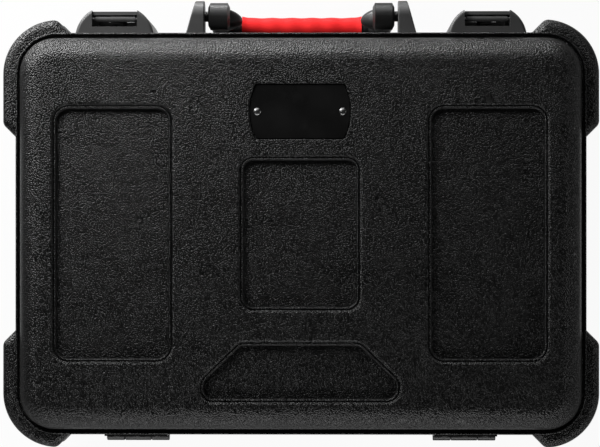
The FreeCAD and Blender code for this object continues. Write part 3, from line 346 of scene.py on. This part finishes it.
def badge_plastic():
    return satin("badge_plastic", greys(BADGE_TONES), BADGE_ROUGHNESS, BADGE_STRENGTH, FINE_GRAIN_DEPTH)


def grip_rubber():
    return satin("grip_rubber", GRIP_REDS, GRIP_ROUGHNESS, GRIP_STRENGTH, specular=GRIP_SPECULAR)


def hinge_metal():
    return satin("hinge_metal", greys(HINGE_TONES), HINGE_ROUGHNESS)


def rim_metal():
    return brushed_metal("rim_metal", RIM_TONES, RIM_ROUGHNESS, RIM_METAL_SHARE)


def steel():
    return brushed_metal("steel", STEEL_TONES, STEEL_ROUGHNESS, STEEL_METAL_SHARE)


def foam():
    """Open pores, dull all over."""
    material, tree, shader, place = new_material("foam")
    pores = cells(tree, place, FOAM_PORE_SCALE)["Distance"]
    colour = blend_colours(tree, pores, *greys(FOAM_TONES))
    roughness = spread(tree, noise(tree, place, CLOUD_SCALE), *MIDDLE_SHARES, *FOAM_ROUGHNESS)
    normal = bump(tree, pores, FOAM_STRENGTH, FOAM_PORE_DEPTH)
    finish(tree, shader, colour, roughness, normal, FOAM_SPECULAR)
    return material


def make_materials():
    makers = (shell_plastic, bumper_plastic, hardware_plastic, handle_frame, lever_plastic, badge_plastic,
              grip_rubber, hinge_metal, rim_metal, steel, foam)
    made = [maker() for maker in makers]
    return {material.name.removeprefix(MATERIAL_PREFIX): material for material in made}


def dress_nodes(materials):
    """Give each solid the material of its slot, or its own where it has one."""
    for name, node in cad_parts.items():
        for slot in node.material_slots:
            slot.material = materials.get(name) or materials[slot.material.name]


# Meshes

def mesh_piece(name, points, faces, material):
    mesh = bpy.data.meshes.new(name)
    mesh.from_pydata(points, [], faces)
    mesh.update()
    mesh.shade_smooth()
    mesh.materials.append(material)
    piece = bpy.data.objects.new(name, mesh)
    bpy.context.scene.collection.objects.link(piece)
    return piece


def tube_faces(rings, count):
    """Faces of a closed tube, whose rings of points have the same count each."""
    faces = []
    for ring in range(rings):
        here = ring * count
        after = (ring + 1) % rings * count
        for step in range(count):
            over = (step + 1) % count
            faces.append((here + step, after + step, after + over, here + over))
    return faces


# Foam lining

def line_with_foam(piece, body, node):
    """Put a soft piece in the place of its plain solid."""
    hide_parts(node)
    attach(piece, body)


def round_into_corner(x, y, half_x, half_y, radius):
    """Pull a grid point in a square corner back onto the rounded corner."""
    over_x = abs(x) - (half_x - radius)
    over_y = abs(y) - (half_y - radius)
    if over_x <= 0 or over_y <= 0:
        return x, y
    shrink = max(over_x, over_y) / math.hypot(over_x, over_y)
    new_x = half_x - radius + over_x * shrink
    new_y = half_y - radius + over_y * shrink
    return math.copysign(new_x, x), math.copysign(new_y, y)


def grid_places(half):
    count = round(2 * half / FOAM_GRID)
    return [half * (2 * index / count - 1) for index in range(count + 1)]


def edge_fall(x, y, half_x, half_y):
    """How far the soft face drops towards its edge."""
    gap = min(half_x - abs(x), half_y - abs(y))
    inside = max(0, FOAM_EDGE_ROUND - gap)
    return FOAM_EDGE_ROUND - math.sqrt(FOAM_EDGE_ROUND ** 2 - inside ** 2)


def pad_piece(name, node, corner, material, relief, downward):
    """Foam slab whose open face is shaped by a relief function."""
    low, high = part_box(node)
    half_x = (high[0] - low[0]) / 2
    half_y = (high[1] - low[1]) / 2
    across = grid_places(half_x)
    along = grid_places(half_y)
    face_z, back_z, way = (low[2], high[2], 1) if downward else (high[2], low[2], -1)
    points = []
    for back in (False, True):
        for y in along:
            for x in across:
                place_x, place_y = round_into_corner(x, y, half_x, half_y, corner)
                fall = edge_fall(x, y, half_x, half_y) + relief(place_x, place_y)
                points.append((place_x, place_y, back_z if back else face_z + way * fall))
    row = len(across)
    sheet = row * len(along)
    faces = []
    for back in (False, True):
        for j in range(len(along) - 1):
            for i in range(row - 1):
                first = back * sheet + j * row + i
                face = (first, first + 1, first + row + 1, first + row)
                faces.append(face if back == downward else face[::-1])
    border = list(range(row))
    border += [j * row + row - 1 for j in range(1, len(along))]
    border += [sheet - 1 - i for i in range(1, row)]
    border += [j * row for j in range(len(along) - 2, 0, -1)]
    for first, second in zip(border, border[1:] + border[:1]):
        face = (first, second, second + sheet, first + sheet)
        faces.append(face if downward else face[::-1])
    return mesh_piece(name, points, faces, material)


def crate(x, y):
    """Peaks and hollows of convoluted foam."""
    wave = 2 * math.pi / CRATE_PERIOD
    return CRATE_DEPTH * (2 - math.cos(wave * x) - math.cos(wave * y)) / 4


def slight_swell(x, y):
    wave_x, wave_y = (2 * math.pi / period for period in SWELL_PERIODS)
    return SWELL_DEPTH * (1 - math.cos(wave_x * x) * math.cos(wave_y * y))


def ring_places(half_x, half_y, radius):
    """Points round a rounded rectangle, with the same count for every size."""
    arcs = []
    for quarter, (sign_x, sign_y) in enumerate(((1, 1), (-1, 1), (-1, -1), (1, -1))):
        arc = []
        for step in range(WALL_CORNER_STEPS + 1):
            angle = (quarter + step / WALL_CORNER_STEPS) * math.pi / 2
            arc.append(mathutils.Vector((
                sign_x * (half_x - radius) + radius * math.cos(angle),
                sign_y * (half_y - radius) + radius * math.sin(angle),
            )))
        arcs.append(arc)
    places = []
    for arc, following in zip(arcs, arcs[1:] + arcs[:1]):
        places += arc
        places += [arc[-1].lerp(following[0], step / WALL_SIDE_STEPS) for step in range(1, WALL_SIDE_STEPS)]
    return places


def wall_section(low, top):
    """Section of the foam wall: inset from the outer or the inner face, and height."""
    rounded = []
    for step in range(FOAM_EDGE_STEPS + 1):
        angle = math.pi / 2 * step / FOAM_EDGE_STEPS
        inset = FOAM_EDGE_ROUND * (1 - math.cos(angle))
        rounded.append((inset, top - FOAM_EDGE_ROUND * (1 - math.sin(angle))))
    outer = [(True, WALL_FOOT_INSET, low)] + [(True, inset, z) for inset, z in rounded]
    inner = [(False, inset, z) for inset, z in reversed(rounded)] + [(False, 0, low)]
    return outer + inner


def wall_piece(name, node, material):
    """Upright foam round the base, with slightly wavy cut faces."""
    low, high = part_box(node)
    outer_ring = ring_places(high[0], high[1], WALL_OUTER_CORNER)
    inner_ring = ring_places(high[0] - WALL_THICKNESS_X, high[1] - WALL_THICKNESS_Y, WALL_INNER_CORNER)
    section = wall_section(low[2], high[2])
    points = []
    for outer, inner in zip(outer_ring, inner_ring):
        inward = (inner - outer).normalized()
        wave = WALL_WAVE * (1 + math.sin(2 * math.pi * (inner.x + inner.y) / WALL_WAVE_PERIOD))
        for from_outer, inset, z in section:
            place = outer + inward * inset if from_outer else inner - inward * (inset + wave)
            points.append((place.x, place.y, z))
    return mesh_piece(name, points, tube_faces(len(outer_ring), len(section)), material)


def make_lining(material):
    lid = pad_piece("lid_egg_foam", "lid_foam", LID_FOAM_CORNER, material, crate, True)
    line_with_foam(lid, "lid", "lid_foam")
    floor = pad_piece("floor_foam", "base_floor_pad", FLOOR_PAD_CORNER, material, slight_swell, False)
    line_with_foam(floor, "base", "base_floor_pad")
    wall = wall_piece("wall_foam", "base_foam_walls", material)
    line_with_foam(wall, "base", "base_foam_walls")


# Panel beads

def box_outline(centre_x, half):
    """Corners of an upright rectangle, turning from +X towards +Y."""
    half_x, half_y = half
    return [(centre_x + half_x, -half_y), (centre_x + half_x, half_y),
            (centre_x - half_x, half_y), (centre_x - half_x, -half_y)]


def taper_outline():
    right = [(TAPER_PANEL_NARROW_HALF, TAPER_PANEL_NEAR), (TAPER_PANEL_WIDE_HALF, TAPER_PANEL_TURN),
             (TAPER_PANEL_WIDE_HALF, TAPER_PANEL_FAR)]
    return right + [(-x, y) for x, y in reversed(right)]


def outward(first, second):
    """Unit vector that points out of an outline's edge."""
    along = (second - first).normalized()
    return mathutils.Vector((along.y, -along.x))


def corner_turns(points, radius):
    """Centre of each rounded corner and the directions that its arc passes through."""
    corners = [mathutils.Vector(point) for point in points]
    turns = []
    for index, corner in enumerate(corners):
        before = outward(corners[index - 1], corner)
        after = outward(corner, corners[(index + 1) % len(corners)])
        middle = (before + after).normalized()
        centre = corner - middle * (radius / middle.dot(before))
        for step in range(BEAD_CORNER_STEPS + 1):
            turns.append((centre, before.lerp(after, step / BEAD_CORNER_STEPS).normalized()))
    return turns


def bead_piece(name, points, radius, top, material):
    """Rounded bead that runs along a panel's wall."""
    turns = corner_turns(points, radius)
    places = []
    for centre, direction in turns:
        for step in range(BEAD_SECTION_STEPS + 1):
            angle = math.pi * step / BEAD_SECTION_STEPS
            inset = BEAD_INSET - BEAD_HALF_WIDTH * math.cos(angle)
            depth = BEAD_FOOT_DEPTH - (BEAD_FOOT_DEPTH - BEAD_CREST_DEPTH) * math.sin(angle)
            place = centre + direction * (radius - inset)
            places.append((place.x, place.y, top - depth))
    piece = mesh_piece(name, places, tube_faces(len(turns), BEAD_SECTION_STEPS + 1), material)
    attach(piece, "lid")


def make_beads(material):
    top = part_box("lid_shell")[1][2]
    outlines = {
        "left": (box_outline(-SIDE_PANEL_CENTRE_X, SIDE_PANEL_HALF), SIDE_PANEL_CORNER),
        "right": (box_outline(SIDE_PANEL_CENTRE_X, SIDE_PANEL_HALF), SIDE_PANEL_CORNER),
        "centre": (box_outline(0, CENTRE_PANEL_HALF), MIDDLE_PANEL_CORNER),
        "taper": (taper_outline(), MIDDLE_PANEL_CORNER),
    }
    for place, (points, radius) in outlines.items():
        bead_piece("lid_bead_" + place, points, radius, top, material)


# Studio

def area_light(name, place, width, height, power):
    data = bpy.data.lights.new(name, "AREA")
    data.shape = "RECTANGLE"
    data.size = width
    data.size_y = height
    data.energy = power
    lamp = bpy.data.objects.new(name, data)
    lamp.location = place
    toward = mathutils.Vector(LIGHT_AIM) - mathutils.Vector(place)
    lamp.rotation_euler = toward.to_track_quat("-Z", "Y").to_euler()
    lamp.visible_camera = False
    bpy.context.scene.collection.objects.link(lamp)


def make_lights():
    for name, (place, width, height, power) in LAMPS.items():
        area_light(name, place, width, height, power)
    world = bpy.data.worlds.new("room")
    world.use_nodes = True
    background = world.node_tree.nodes["Background"].inputs
    background["Color"].default_value = WHITE
    background["Strength"].default_value = WORLD_STRENGTH
    bpy.context.scene.world = world


def sheet_share(tree, place):
    """1 on the white sheet, falling to 0 on the floor around it."""
    scale = [1 / reach for reach in SHEET_REACH] + [0]
    shift = [-centre / reach for centre, reach in zip(SHEET_CENTRE, SHEET_REACH)] + [0]
    mapping = add_node(tree, "ShaderNodeMapping", {"Vector": place, "Scale": scale, "Location": shift})
    reach = add_node(tree, "ShaderNodeVectorMath", operation="ABSOLUTE")
    put(tree, reach.inputs[0], mapping.outputs["Vector"])
    parts = add_node(tree, "ShaderNodeSeparateXYZ", {"Vector": reach.outputs["Vector"]}).outputs
    return spread(tree, combine(tree, "MAXIMUM", parts["X"], parts["Y"]), 1, SHEET_FADE_SHARE, 1, 0)


def make_floor():
    material, tree, shader, place = new_material("floor")
    sheet = sheet_share(tree, place)
    fine = noise(tree, place, SATIN_SCALE)
    colour = blend_colours(tree, sheet, grey(FLOOR_LEVEL), grey(SHEET_LEVEL))
    normal = bump(tree, fine, FLOOR_STRENGTH, FINE_GRAIN_DEPTH)
    finish(tree, shader, colour, FLOOR_ROUGHNESS, normal, specular=0)
    path = tree.nodes.new("ShaderNodeLightPath").outputs
    mirrored = combine(tree, "MAXIMUM", path["Is Glossy Ray"], path["Is Transmission Ray"])
    seen = combine(tree, "MAXIMUM", path["Is Camera Ray"], combine(tree, "MULTIPLY", mirrored, sheet))
    glow = add_node(tree, "ShaderNodeEmission", {"Color": WHITE, "Strength": 1})
    mixed = add_node(tree, "ShaderNodeMixShader")
    put(tree, mixed.inputs["Fac"], combine(tree, "MULTIPLY", seen, SHEET_GLOW_SHARE))
    put(tree, mixed.inputs[1], shader.outputs["BSDF"])
    put(tree, mixed.inputs[2], glow.outputs["Emission"])
    put(tree, tree.nodes["Material Output"].inputs["Surface"], mixed.outputs["Shader"])
    corners = [(-FLOOR_HALF, -FLOOR_HALF, 0), (FLOOR_HALF, -FLOOR_HALF, 0),
               (FLOOR_HALF, FLOOR_HALF, 0), (-FLOOR_HALF, FLOOR_HALF, 0)]
    mesh_piece("floor", corners, [(0, 1, 2, 3)], material)


def make_camera():
    data = bpy.data.cameras.new("camera")
    data.sensor_width = CAMERA_SENSOR_MM
    data.lens = CAMERA_SENSOR_MM * CAMERA_DISTANCE / CAMERA_VIEW_WIDTH
    data.shift_y = CAMERA_SHIFT_SHARE
    data.clip_end = CAMERA_REACH
    camera = bpy.data.objects.new("camera", data)
    camera.location = (CAMERA_SIDE, 0, cad_box[1][2] + CAMERA_DISTANCE)
    camera.rotation_euler = (0, math.atan2(-CAMERA_SIDE, CAMERA_DISTANCE), math.pi)
    bpy.context.scene.collection.objects.link(camera)
    bpy.context.scene.camera = camera


materials = make_materials()
dress_nodes(materials)
make_lining(materials["foam"])
make_beads(materials["shell_plastic"])
make_lights()
make_floor()
make_camera()
bpy.context.scene.view_settings.view_transform = "Standard"
